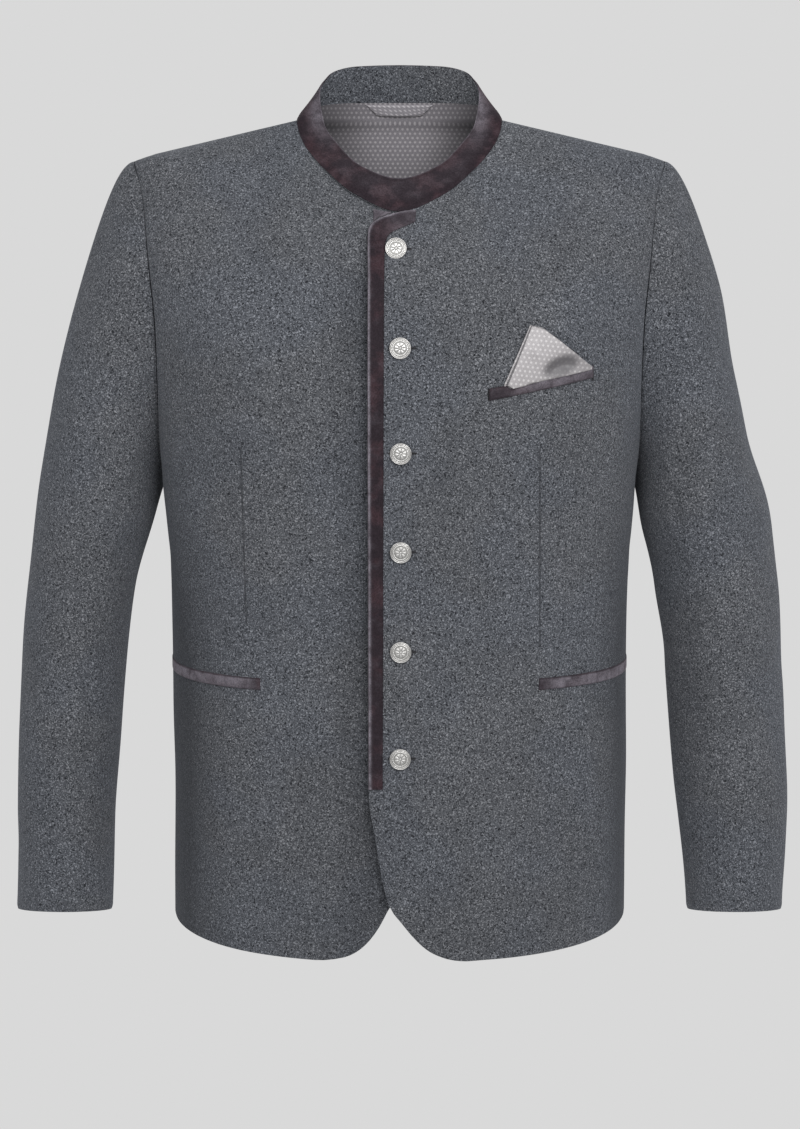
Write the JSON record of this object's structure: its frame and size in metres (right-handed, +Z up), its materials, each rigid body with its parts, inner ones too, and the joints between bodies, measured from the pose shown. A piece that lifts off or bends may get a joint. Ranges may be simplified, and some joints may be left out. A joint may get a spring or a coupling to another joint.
{
  "type": "tyrolean loden jacket",
  "caption": "Men's stand-collar loden jacket with velvet collar, front binding and pocket welts, metal buttons and a pocket square, filled out as worn and hollow.",
  "frame": {"origin": "middle of the neck opening, level with the two points where the shoulder seams meet the collar", "axes": "+Z up, the front of the jacket faces -Y, +X is the wearer's left"},
  "size_m": [0.6666, 0.272, 0.7384],
  "materials": {
    "loden": "mottled grey loden, milled wool with a short nap",
    "velvet": "dark aubergine cotton velvet",
    "lining": "grey jacquard lining with small light dots",
    "pocket_square_cloth": "silver-grey jacquard with small white dots",
    "button_metal": "bright silver-coloured cast metal"
  },
  "bodies": {
    "root": {"back_left": "loden", "back_lining": "lining", "back_right": "loden", "breast_welt": "velvet", "button_1": "button_metal", "button_2": "button_metal", "button_3": "button_metal", "button_4": "button_metal", "button_5": "button_metal", "button_6": "button_metal", "collar_facing": "loden", "collar_velvet": "velvet", "front_left": "loden", "front_right": "loden", "hanger_loop": "lining", "hip_welt_left": "velvet", "hip_welt_right": "velvet", "neck_binding": "velvet", "placket_trim": "velvet", "pocket_square": "pocket_square_cloth", "top_sleeve_left": "loden", "top_sleeve_right": "loden", "under_sleeve_left": "loden", "under_sleeve_right": "loden"}
  },
  "joints": []
}
